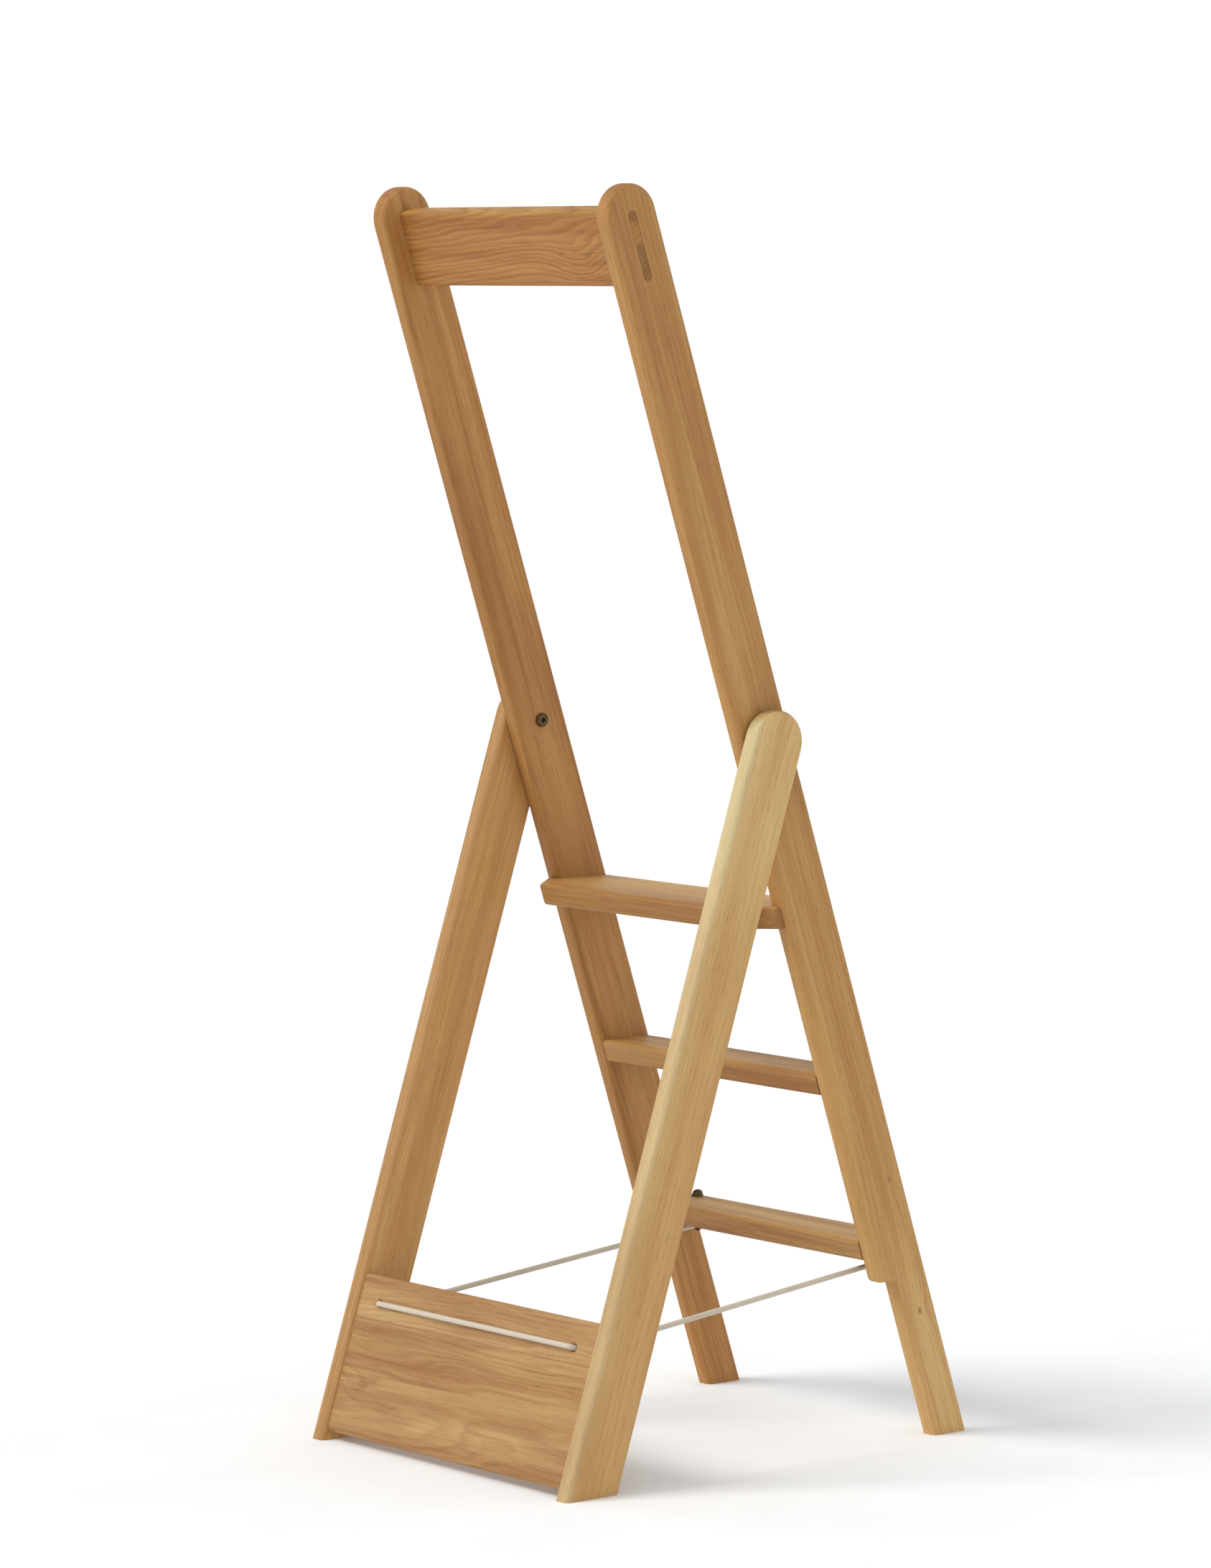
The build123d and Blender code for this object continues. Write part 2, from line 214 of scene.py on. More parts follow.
KNOT_STRETCH = 0.55  # a knot is as wide as this share of its length along the grain
KNOT_CORE = (0.06, 0.32)  # where its dark heart starts to fade and ends, as shares of its size
KNOT_DARKEST = 0.85

# A knot's place in the timber's own axes, its size, how many rings it bends, and how dark its heart is
Knot = namedtuple("Knot", "across along size turns dark")

# A stretch with a tone of its own: the timber's axis, both ends, how softly they end, and the tone
Zone = namedtuple("Zone", "axis low high soft tone")

# The wood at a point: how early in its year it is, a number for the year, its fibres, pores and long streaks
Grain = namedtuple("Grain", "early year fibre pore lines")


def timber_frame(lean, lie="up"):
    """Euler angles that take a timber's own axes to the row frame: Z along its grain, Y across its width.

    An "up" timber runs up its frame, an "across" one stands on edge along X, a "level" one lies flat along X.
    """
    turn = Matrix.Rotation(-lean, 3, "X")
    if lie == "across":
        turn = turn @ Matrix(((0, 0, 1), (1, 0, 0), (0, 1, 0)))
    if lie == "level":
        turn = turn @ Matrix.Rotation(math.pi / 2, 3, "Y")
    return turn.to_euler("XYZ")


def own_axes(nodes, vector, turn, origin=(0, 0, 0)):
    """A place or a direction in the timber's own axes."""
    inputs = {"Vector": vector, "Location": origin, "Rotation": turn}
    return nodes.add("ShaderNodeMapping", inputs, vector_type="TEXTURE").outputs[0]


def grain_noise(nodes, place, stretch, scale, detail, roughness=0.5):
    """Noise that is drawn out along the grain, where it is coarser by 1 / stretch."""
    return nodes.noise(nodes.vector("MULTIPLY", place, (1, 1, stretch)), scale, detail, roughness)


def knot_field(nodes, local, knots):
    """(how much the rings bend round the knots, how dark the knots' hearts are), summed over knots."""
    bend, heart = 0.0, 0.0
    for knot in knots:
        offset = nodes.vector("SUBTRACT", local, (0, knot.across, knot.along))
        flat = nodes.vector("MULTIPLY", offset, (0, 1, KNOT_STRETCH))
        distance = nodes.vector("LENGTH", flat, out="Value")
        near = nodes.math("DIVIDE", distance, knot.size)
        bell = nodes.math("EXPONENT", nodes.math("MULTIPLY", nodes.math("MULTIPLY", near, near), -1.0))
        bend = nodes.math("MULTIPLY_ADD", bell, knot.turns, bend)
        inner, outer = (share * knot.size for share in KNOT_CORE)
        core = nodes.range(distance, inner, outer, knot.dark, 0.0, smooth=True)
        heart = nodes.math("ADD", core, heart)
    return bend, heart


def waving_axes(nodes, local, shifted, slant, wave):
    """The timber's axes, sheared by the slant and warped by slow waves that run along the grain."""
    slow = nodes.vector("MULTIPLY", shifted, (1, 1, WAVE_STRETCH))
    broad = nodes.noise(slow, scale=16, detail=2.5, roughness=0.55)
    narrow = nodes.noise(nodes.vector("ADD", slow, (5, 3, 1)), scale=34, detail=2)
    axes = nodes.split(local)
    across = []
    for axis, shear, field, reach in zip("XY", slant, (broad, narrow), WAVE_REACH):
        sheared = nodes.math("MULTIPLY_ADD", axes["Z"], shear, axes[axis])
        swing = nodes.math("SUBTRACT", field, 0.5)
        across.append(nodes.math("MULTIPLY_ADD", swing, reach * wave, sheared))
    return *across, axes["Z"]


def read_grain(nodes, waving, shifted, bend, pith, ring):
    """Growth rings round the pith, and fibres, pores and streaks that are drawn out along the grain."""
    spoke = nodes.join(waving[0], waving[1])
    radius = nodes.vector("DISTANCE", spoke, (*pith, 0), out="Value")
    phase = nodes.math("ADD", nodes.math("DIVIDE", radius, ring), bend)
    early = nodes.ramp(nodes.math("FRACT", phase), *YEAR)
    year = nodes.math("FRACT", nodes.math("MULTIPLY", nodes.math("FLOOR", phase), YEAR_SCATTER))
    fibre = grain_noise(nodes, shifted, stretch=0.02, scale=520, detail=3, roughness=0.6)
    pits = grain_noise(nodes, shifted, stretch=0.035, scale=1500, detail=1)
    often = nodes.range(early, 0, 1, LATE_PORES, 1)
    pore = nodes.math("MULTIPLY", nodes.range(pits, 0.56, 0.68), often)
    bent = nodes.vector("ADD", nodes.join(*waving), (3, 7, 2))
    lines = grain_noise(nodes, bent, stretch=0.03, scale=130, detail=3, roughness=0.6)
    return Grain(early, year, fibre, pore, lines)


def grain_colour(nodes, shifted, grain, tint, ring_depth, streak):
    """Broad bands and clouds, and over them the streaks, rings, fibres and pores."""
    pale, honey, russet = tint
    band = grain_noise(nodes, shifted, stretch=0.05, scale=46, detail=3, roughness=0.55)
    cloud = grain_noise(nodes, shifted, stretch=0.3, scale=7, detail=2)
    colour = nodes.stain(pale, honey, band, low=0.3, high=0.7, smooth=True)
    colour = nodes.stain(colour, russet, cloud, low=0.46, high=0.72, most=0.5, smooth=True)
    colour = nodes.stain(colour, russet, grain.lines, low=0.50, high=0.68, most=streak, smooth=True)
    colour = nodes.stain(colour, pale, grain.lines, low=0.50, high=0.32, most=0.6 * streak, smooth=True)
    depth = nodes.range(grain.year, 0, 1, 0.5 * ring_depth, 1.2 * ring_depth)
    colour = nodes.mix(nodes.math("MULTIPLY", grain.early, depth), colour, russet)
    colour = nodes.stain(colour, russet, grain.fibre, low=0.64, high=0.36, most=0.18)
    colour = nodes.stain(colour, pale, grain.fibre, low=0.52, high=0.72, most=0.14)
    return nodes.mix(nodes.math("MULTIPLY", grain.pore, PORE_DARK), colour, PORE_BROWN)


def end_grain_field(nodes, normal, turn):
    """How much end grain a face shows. It is 0 where the face runs along the grain."""
    facing = nodes.split(own_axes(nodes, normal, turn))
    return nodes.range(nodes.math("ABSOLUTE", facing["Z"]), *END_ON, 0, END_DARK, smooth=True)


def toned(nodes, colour, tone):
    """The colour, multiplied by a tone."""
    return nodes.mix(1.0, colour, (*tone, 1), blend="MULTIPLY")


def finish_oak(nodes, shader, grain, end_grain):
    """An oiled surface: low sheen, duller in the pores and on end grain, with the grain as fine relief."""
    rough = nodes.math("MULTIPLY_ADD", grain.fibre, FIBRE_ROUGHNESS, OAK_ROUGHNESS)
    rough = nodes.math("MULTIPLY_ADD", grain.pore, PORE_ROUGHNESS, rough)
    nodes.set(shader.inputs["Roughness"], nodes.math("MULTIPLY_ADD", end_grain, END_ROUGHNESS, rough))
    relief = nodes.math("MULTIPLY", grain.fibre, FIBRE_RELIEF)
    relief = nodes.math("MULTIPLY_ADD", grain.pore, PORE_RELIEF, relief)
    relief = nodes.math("MULTIPLY_ADD", grain.early, EARLY_RELIEF, relief)
    nodes.bump(shader, relief, strength=0.35, distance=0.0002)


def oak(name, origin, turn, pith, slant, tint, tone=(1, 1, 1), knots=(), ring=0.0031, wave=0.006, seed=0.0,
        joint=None, end_dark=(), ring_depth=0.20, streak=0.35, zones=()):
    """Solid oiled oak. Rings run round the pith, which lies beside the timber and slants across it.

    pith and slant are in the timber's own axes: X through its thickness, Y across its width. ring is the
    width of a year's ring and wave how far the rings wander. Above joint, a height across the width, the
    wood is a second, redder stave. end_dark lists the stretches across the width where the end grain is
    darkest. ring_depth and streak set how strongly the rings and the long streaks of colour show.
    """
    material, nodes, shader = new_material(name, Specular_IOR_Level=0.26)
    place = nodes.add("ShaderNodeTexCoord").outputs
    local = own_axes(nodes, place["Object"], turn, origin)
    along = nodes.split(local)
    if joint is not None:
        above = nodes.math("GREATER_THAN", along["Y"], joint)
        step = nodes.join(*(nodes.math("MULTIPLY", above, shift) for shift in STAVE_SHIFT))
        local = nodes.vector("ADD", local, step)
    shifted = nodes.vector("ADD", local, [seed * shift for shift in SEED_SHIFT])

    bend, heart = knot_field(nodes, local, knots)
    waving = waving_axes(nodes, local, shifted, slant, wave)
    grain = read_grain(nodes, waving, shifted, bend, pith, ring)
    colour = grain_colour(nodes, shifted, grain, tint, ring_depth, streak)
    if joint is not None:
        colour = nodes.mix(nodes.math("MULTIPLY", above, STAVE_RED), colour, tint[-1])
        off_joint = nodes.math("ABSOLUTE", nodes.math("SUBTRACT", along["Y"], joint))
        colour = nodes.stain(colour, PORE_BROWN, off_joint, low=SEAM_FADE, high=SEAM_HALF, most=SEAM_DARK)
    if knots:
        colour = nodes.mix(nodes.math("MINIMUM", heart, KNOT_DARKEST), colour, KNOT_BROWN)
    for zone in zones:
        inside = nodes.between(along[zone.axis], zone.low, zone.high, zone.soft, smooth=True)
        colour = nodes.mix(inside, colour, toned(nodes, colour, zone.tone))

    # End grain drinks more oil and is darker
    end_grain = end_grain_field(nodes, place["Normal"], turn)
    colour = nodes.mix(end_grain, colour, END_BROWN)
    for low, high in end_dark:
        inside = nodes.between(along["Y"], low, high, TENON_SOFT)
        share = nodes.math("MULTIPLY", inside, nodes.math("MULTIPLY", end_grain, TENON_DARK))
        colour = nodes.mix(share, colour, TENON_BROWN)
    nodes.set(shader.inputs["Base Color"], toned(nodes, colour, tone))
    finish_oak(nodes, shader, grain, end_grain)
    return material


def paint(node, material):
    """Gives a CAD node a material in place of its plain one."""
    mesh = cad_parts[node].data
    mesh.materials.clear()
    mesh.materials.append(material)


def paint_stiles():
    """The left stile is pale at its foot and has two small knots. The right one is redder and streaked, with
    painted shade on its rear edge.
    """
    turn = timber_frame(LEAN)
    knots = (
        Knot(across=-0.011, along=-0.660, size=0.011, turns=1.6, dark=0.65),
        Knot(across=-0.014, along=-0.5075, size=0.009, turns=1.4, dark=0.45),
    )
    foot = Zone("Z", low=-1.2, high=-0.62, soft=0.11, tone=(1.22, 1.36, 1.60))
    head = Zone("Z", low=0.22, high=1.0, soft=0.20, tone=(0.86, 0.78, 0.74))
    left = oak("Oak stile left", PIVOT, turn, pith=(-0.30, 0.055), slant=(0.006, 0.010), tint=WARM_OAK,
               tone=(1.03, 1.04, 1.0), knots=knots, seed=1.0, streak=0.18, zones=(foot, head))
    paint("stile_left", left)

    swirl = Knot(across=0.018, along=0.210, size=0.016, turns=1.6, dark=0.0)
    # Painted shade darkens the rear edge, which the key light lights brightly.
    rear_edge = Zone("Y", low=0.026, high=0.040, soft=0.004, tone=(0.89, 0.90, 0.84))
    right = oak("Oak stile right", PIVOT, turn, pith=(0.26, -0.07), slant=(0.012, -0.008), tint=WARM_OAK,
                tone=(0.98, 0.90, 0.81), knots=(swirl,), seed=2.0, streak=0.42, zones=(rear_edge,))
    paint("stile_right", right)


def paint_legs():
    """The left leg is the palest timber, paler still at its head, with a painted highlight on its rear edge.
    The right is warmer.
    """
    turn = timber_frame(-LEAN)
    # Paler towards the rear edge.
    rear_pale = Zone("Y", low=0.011, high=0.040, soft=0.008, tone=(1.03, 1.06, 1.10))
    # Painted highlight: the rear edge and its rounding are paler and less saturated, like the key light's
    # sheen.
    rear_edge = Zone("Y", low=0.028, high=0.040, soft=0.003, tone=(0.98, 1.18, 1.50))
    head = Zone("Z", low=-0.16, high=0.10, soft=0.10, tone=(1.15, 1.30, 1.44))
    left = oak("Oak leg left", PIVOT, turn, pith=(-0.34, -0.06), slant=(0.008, 0.006), tint=LIGHT_OAK,
               tone=(0.96, 0.89, 0.80), seed=3.0, streak=0.10, ring_depth=0.12,
               zones=(rear_pale, rear_edge, head))
    paint("leg_left", left)

    rear_edge = Zone("Y", low=0.030, high=0.040, soft=0.004, tone=(0.70, 0.68, 0.70))
    right = oak("Oak leg right", PIVOT, turn, pith=(0.24, 0.08), slant=(-0.01, 0.012), tint=WARM_OAK,
                tone=(1.19, 1.20, 1.23), seed=4.0, streak=0.2, zones=(rear_edge,))
    paint("leg_right", right)


def paint_rail():
    """A figured rail with one swirl, a painted highlight on its top edge, and paler end grain, dark at two
    heights.
    """
    swirl = Knot(across=0.524, along=-0.108, size=0.026, turns=3.4, dark=0.0)
    # Painted highlight along the top edge, which faces the light.
    top_edge = Zone("Y", low=0.575, high=0.60, soft=0.003, tone=(1.19, 1.40, 1.38))
    left_end = Zone("Z", low=-0.23, high=-0.19, soft=0.001, tone=(1.45, 1.55, 1.62))
    right_end = Zone("Z", low=0.19, high=0.23, soft=0.001, tone=(1.45, 1.55, 1.62))
    rail = oak("Oak rail", PIVOT, timber_frame(LEAN, "across"), pith=(-0.05, 0.44), slant=(0.03, 0.06),
               tint=DARK_OAK, tone=(1.08, 1.05, 0.92), knots=(swirl,), ring=0.0048, wave=0.014, seed=5.0,
               end_dark=((0.503, 0.541), (0.566, 0.578)), ring_depth=0.5, streak=0.4,
               zones=(top_edge, left_end, right_end))
    paint("top_rail", rail)


def paint_treads():
    """Three treads from three boards, each with painted light on its top face."""
    tones = {
        "top_tread": (1.05, 1.06, 1.01),
        "middle_tread": (1.02, 1.0, 0.93),
        "bottom_tread": (0.92, 0.9, 0.88),
    }
    for number, (name, tone) in enumerate(tones.items()):
        low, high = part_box(name)
        half = (high.z - low.z) / 2
        # Painted light: the top face is paler, as it faces the key light.
        top_face = Zone("X", low=-half - 0.003, high=-half + 0.001, soft=0.001, tone=(1.17, 1.24, 1.18))
        tread = oak(f"Oak {name.replace('_', ' ')}", (low + high) / 2, timber_frame(0.0, "level"),
                    pith=(-0.09, 0.10 - 0.07 * number), slant=(0.02, 0.015), tint=TREAD_OAK, tone=tone,
                    ring=0.0034, wave=0.008, seed=6.0 + number, streak=0.4, zones=(top_face,))
        paint(name, tread)


def paint_board():
    """A board glued from two staves, the upper one paler, with a small knot and a swirl."""
    joint = -0.674
    knot = Knot(across=-0.745, along=0.160, size=0.022, turns=1.4, dark=0.3)
    swirl = Knot(across=-0.775, along=-0.070, size=0.030, turns=1.0, dark=0.0)
    upper_stave = Zone("Y", low=joint, high=-0.60, soft=0.0006, tone=(1.13, 1.20, 1.28))
    under_joint = Zone("Y", low=-0.735, high=-0.684, soft=0.010, tone=(0.98, 0.96, 0.91))
    board = oak("Oak board", PIVOT, timber_frame(-LEAN, "across"), pith=(0.11, -0.76), slant=(0.02, 0.01),
                tint=BOARD_OAK, knots=(knot, swirl), ring=0.0045, wave=0.016, seed=9.5, joint=joint,
                ring_depth=0.3, streak=0.45, zones=(upper_stave, under_joint))
    paint("kick_board", board)


def paint_loose_tenons():
    """The hidden tenons share one plain piece of oak."""
    plain = oak("Oak tenons", (0, 0, 0), timber_frame(0.0, "level"), pith=(-0.06, 0.12), slant=(0.02, 0.01),
                tint=WARM_OAK)
    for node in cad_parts:
        if "_tenon" in node:
            paint(node, plain)


# ---------------------------------------------------------------- other materials

BRONZE_DARK = srgb(74, 62, 42)
BRONZE_WARM = srgb(112, 92, 60)
BRONZE_WORN = srgb(150, 126, 84)
ZINC_GREY = srgb(178, 178, 180)
BRASS_YELLOW = srgb(196, 162, 96)
DULL_SHARE = 0.6  # how bright a dull spot on machined metal is
DULL_ROUGHER = 0.1
SHINY_SMOOTHER = 0.06
TURNING_RINGS = 22000.0  # radians of turning rings per metre of radius

CORD_SHADE = srgb(152, 136, 114)
CORD_CREAM = srgb(214, 203, 186)
CORD_SOIL = srgb(190, 176, 152)
CORD_FIBRE = srgb(168, 150, 122)

# Glue line and painted shadow in the tenon joints
GLUE_SHADOW_DARK = srgb(92, 60, 34)
GLUE_SHADOW_PALE = srgb(136, 94, 56)
FLOOR_DARK = srgb(246, 246, 246)
FLOOR_PALE = srgb(249, 249, 249)


def bronze():
    """Dark, handled bronze: olive brown, brighter where it has been rubbed."""
    material, nodes, shader = new_material("Dark bronze", Metallic=0.85)
    place = nodes.add("ShaderNodeTexCoord").outputs["Object"]
    patch = nodes.noise(place, scale=420, detail=3, roughness=0.6)
    speck = nodes.noise(place, scale=2600, detail=2)
    colour = nodes.stain(BRONZE_DARK, BRONZE_WARM, patch, low=0.35, high=0.7, smooth=True)
    colour = nodes.stain(colour, BRONZE_WORN, speck, low=0.6, high=0.75, most=0.35)
    nodes.set(shader.inputs["Base Color"], colour)
    nodes.set(shader.inputs["Roughness"], nodes.range(patch, 0.3, 0.7, to_low=0.30, to_high=0.52))
    nodes.bump(shader, speck, strength=0.25, distance=0.0001)
    return material


def turned_metal(name, base, rough):
    """Machined metal with fine turning rings about X and a few dull spots."""
    material, nodes, shader = new_material(name, Metallic=1.0)
    place = nodes.add("ShaderNodeTexCoord").outputs["Object"]
    spokes = nodes.vector("MULTIPLY", nodes.vector("SUBTRACT", place, PIVOT), (0, 1, 1))
    radius = nodes.vector("LENGTH", spokes, out="Value")
    rings = nodes.math("SINE", nodes.math("MULTIPLY", radius, TURNING_RINGS))
    spots = nodes.noise(place, scale=300, detail=3, roughness=0.6)
    dull = (*(DULL_SHARE * value for value in base[:3]), 1)
    nodes.set(shader.inputs["Base Color"], nodes.stain(base, dull, spots, low=0.4, high=0.75, most=0.4))
    rough_range = (rough - SHINY_SMOOTHER, rough + DULL_ROUGHER)
    nodes.set(shader.inputs["Roughness"], nodes.range(spots, 0.3, 0.7, *rough_range))
    nodes.bump(shader, rings, strength=0.12, distance=0.00005)
    return material


def cord_material():
    """Natural cotton: cream, with painted shade between its strands, a little soiled, with loose fibres."""
    material, nodes, shader = new_material("Cream cord", Roughness=0.92, Specular_IOR_Level=0.2,
                                           Sheen_Weight=0.35, Sheen_Roughness=0.5)
    place = nodes.add("ShaderNodeTexCoord").outputs["Object"]
    crest = nodes.add("ShaderNodeAttribute", attribute_name="crest").outputs["Fac"]
    soil = nodes.noise(place, scale=24, detail=3, roughness=0.6)
    fuzz = nodes.noise(place, scale=1900, detail=3, roughness=0.65)
    # Painted shade in the grooves between the strands, driven by the braid's crest.
    colour = nodes.stain(CORD_SHADE, CORD_CREAM, crest, low=0.0, high=0.8, smooth=True)
    colour = nodes.stain(colour, CORD_SOIL, soil, low=0.45, high=0.75, most=0.35, smooth=True)
    colour = nodes.stain(colour, CORD_FIBRE, fuzz, low=0.65, high=0.35, most=0.22)
    nodes.set(shader.inputs["Base Color"], colour)
    nodes.bump(shader, fuzz, strength=0.4, distance=0.0002)
    return material


def tenon_line_material(side):
    """A dark glue line in the joint, with painted shadow of the gap round the tenon."""
    material, nodes, shader = new_material(f"Tenon line {side}", Roughness=0.85)
    place = nodes.add("ShaderNodeTexCoord").outputs["Object"]
    glue_shadow = nodes.noise(place, scale=160, detail=3, roughness=0.6)
    nodes.set(shader.inputs["Base Color"], nodes.mix(glue_shadow, GLUE_SHADOW_DARK, GLUE_SHADOW_PALE))
    return material


def floor_material():
    """A matt, almost white studio floor with the faintest mottling."""
    material, nodes, shader = new_material("Studio floor", Roughness=0.9, Specular_IOR_Level=0.0)
    place = nodes.add("ShaderNodeTexCoord").outputs["Object"]
    mottle = nodes.noise(place, scale=6, detail=4, roughness=0.55)
    nodes.set(shader.inputs["Base Color"], nodes.stain(FLOOR_DARK, FLOOR_PALE, mottle, low=0.35, high=0.65))
    return material


# ---------------------------------------------------------------- meshes


def add_mesh(name, vertices, faces, material, smooth=True):
    """A new object from plain lists of points and faces."""
    mesh = bpy.data.meshes.new(name)
    mesh.from_pydata([tuple(vertex) for vertex in vertices], [], faces)
    mesh.validate()
    mesh.materials.append(material)
    for face in mesh.polygons:
        face.use_smooth = smooth
    piece = bpy.data.objects.new(name, mesh)
    bpy.context.scene.collection.objects.link(piece)
    return piece


def tube_faces(rows, around):
    """Faces of a tube from rows of points that follow each other, with a cap on each end."""
    faces = []
    for row in range(rows - 1):
        for step in range(around):
            here = row * around + step
            after = row * around + (step + 1) % around
            faces.append((here, after, after + around, here + around))
    last = (rows - 1) * around
    faces.append(tuple(reversed(range(around))))
    faces.append(tuple(range(last, last + around)))
    return faces


def lathe(profile, base, axis, steps=48):
    """Points and faces of a profile of (distance along, radius), turned about an axis through the base."""
    side = axis.orthogonal().normalized()
    other = axis.cross(side)
    vertices = []
    for along, radius in profile:
        for step in range(steps):
            angle = 2 * math.pi * step / steps
            spoke = side * math.cos(angle) + other * math.sin(angle)
            vertices.append(base + axis * along + spoke * radius)
    return vertices, tube_faces(len(profile), steps)


def torus(centre, ring_radius, wire_radius, steps=56, around=18):
    """Points and faces of a ring that a line along Y passes through."""
    vertices = []
    for step in range(steps):
        angle = 2 * math.pi * step / steps
        spoke = Vector((math.cos(angle), 0, math.sin(angle)))
        for turn in range(around):
            tilt = 2 * math.pi * turn / around
            offset = spoke * (wire_radius * math.cos(tilt)) + Vector((0, wire_radius * math.sin(tilt), 0))
            vertices.append(centre + spoke * ring_radius + offset)
    faces = []
    for step in range(steps):
        here = step * around
        ahead = (step + 1) % steps * around
        for turn in range(around):
            after = (turn + 1) % around
            faces.append((here + turn, ahead + turn, ahead + after, here + after))
    return vertices, faces


def finish_piece(piece, body, slot, *nodes):
    """The piece rides on a body and stands for CAD nodes. Its slot is not used."""
    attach(piece, body)
    if nodes:
        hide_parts(*nodes)


# ---------------------------------------------------------------- the cord

CORD_RADIUS = 0.0030
CORD_X = 0.166  # where its holes in the board are
CORD_DROP = 0.657  # below the pivot, along the support frame

# Depths behind the legs' centre lines: the board's middle and front, and the cord behind the board
BOARD_MIDDLE_DEPTH = 0.0215
BOARD_FRONT_DEPTH = 0.0135
CORD_BEHIND_DEPTH = 0.0327

EYE_X = 0.156
EYE_RING_RADIUS = 0.0052
EYE_WIRE_RADIUS = 0.0016
STOP_START = 2 * EYE_WIRE_RADIUS
STOP_LONG = 0.011
CORD_TAIL = 0.006  # past the stop

LINE_STEPS = 48  # per control point
BRAID_STRANDS = 7
BRAID_PITCH = 0.022  # length in which a strand goes once round the cord
BRAID_RELIEF = 0.00036
BRAID_STEP = 0.0005
BRAID_AROUND = 42
STRAND_ROUND = 0.62  # the share of a strand's height that is its own roundness, and not its weave


def support_point(x, depth, drop):
    """A point of the support frame, in the row frame, from its depth and its drop below the pivot."""
    return PIVOT + Matrix.Rotation(LEAN, 3, "X") @ Vector((x, depth, -drop))


def smooth_line(points):
    """Points along one smooth NURBS line that has these as its control points."""
    curve = bpy.data.curves.new("route", "CURVE")
    curve.dimensions = "3D"
    curve.resolution_u = LINE_STEPS
    spline = curve.splines.new("NURBS")
    spline.points.add(len(points) - 1)
    for control, point in zip(spline.points, points):
        control.co = (*point, 1)
    spline.order_u = 3
    spline.use_endpoint_u = True
    line = bpy.data.objects.new("route", curve)
    bpy.context.scene.collection.objects.link(line)
    bpy.context.view_layer.update()
    mesh = bpy.data.meshes.new_from_object(line)
    result = [vertex.co.copy() for vertex in mesh.vertices]
    bpy.data.objects.remove(line)
    return result


def evenly(points, step):
    """The same line, with its points an even step apart."""
    lengths = [0.0]
    for before, after in zip(points, points[1:]):
        lengths.append(lengths[-1] + (after - before).length)
    count = max(2, round(lengths[-1] / step))
    result = []
    segment = 0
    for index in range(count + 1):
        wanted = lengths[-1] * index / count
        while segment < len(points) - 2 and lengths[segment + 1] < wanted:
            segment += 1
        span = lengths[segment + 1] - lengths[segment]
        share = (wanted - lengths[segment]) / span if span else 0.0
        result.append(points[segment].lerp(points[segment + 1], share))
    return result


def strand_height(across, along, over):
    """Height of one set of strands: round across a strand, and over or under the other set along it."""
    roundness = math.cos(math.pi * (across - round(across)))
    weave = over * math.cos(math.pi * along)
    return STRAND_ROUND * roundness + (1 - STRAND_ROUND) * weave


def braid_height(u, v):
    """Relief, 0 to 1, of a plain braid whose strands lie at whole numbers of u and of v."""
    first = strand_height(u, v, (-1) ** round(u))
    second = strand_height(v, u, -((-1) ** round(v)))
    return max(first, second, 0.0)


def braided_cord(name, control_points, material):
    """A braided cord along a smooth line, with its strands as real relief."""
    line = evenly(smooth_line(control_points), BRAID_STEP)
    side = (line[1] - line[0]).orthogonal().normalized()
    vertices = []
    crests = []
    for index, point in enumerate(line):
        ahead = line[min(index + 1, len(line) - 1)] - line[max(index - 1, 0)]
        ahead.normalize()
        side = (side - ahead * side.dot(ahead)).normalized()
        other = ahead.cross(side)
        turn = index * BRAID_STEP / BRAID_PITCH
        for step in range(BRAID_AROUND):
            share = step / BRAID_AROUND
            crest = braid_height(BRAID_STRANDS * (share + turn), BRAID_STRANDS * (share - turn))
            radius = CORD_RADIUS - BRAID_RELIEF * (1 - crest)
            angle = 2 * math.pi * share
            vertices.append(point + (side * math.cos(angle) + other * math.sin(angle)) * radius)
            crests.append(crest)
    cord = add_mesh(name, vertices, tube_faces(len(line), BRAID_AROUND), material)
    attribute = cord.data.attributes.new("crest", "FLOAT", "POINT")
    attribute.data.foreach_set("value", crests)
    return cord


def eye_centre(sign):
    """The middle of an eye's ring, from its CAD node's lowest point."""
    low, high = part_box("cord_eye_left")
    return Vector((sign * EYE_X, (low.y + high.y) / 2, low.z + EYE_RING_RADIUS + EYE_WIRE_RADIUS))


def side_span_ends(sign):
    """(where a side span leaves the board, the eye's middle, the direction from one to the other)."""
    mouth = support_point(sign * CORD_X, BOARD_FRONT_DEPTH, CORD_DROP)
    eye = eye_centre(sign)
    return mouth, eye, (eye - mouth).normalized()


def build_rear_span(material):
    """The stretch across the board's rear face, with both ends turned into the holes."""
    reach = CORD_BEHIND_DEPTH - BOARD_MIDDLE_DEPTH
    places = (
        (-CORD_X, BOARD_MIDDLE_DEPTH),
        (-CORD_X, CORD_BEHIND_DEPTH),
        (reach - CORD_X, CORD_BEHIND_DEPTH),
        (CORD_X - reach, CORD_BEHIND_DEPTH),
        (CORD_X, CORD_BEHIND_DEPTH),
        (CORD_X, BOARD_MIDDLE_DEPTH),
    )
    points = [support_point(x, depth, CORD_DROP) for x, depth in places]
    span = braided_cord("cord_rear_span_braid", points, material)
    finish_piece(span, "support_frame", "cord", "cord_rear_span")


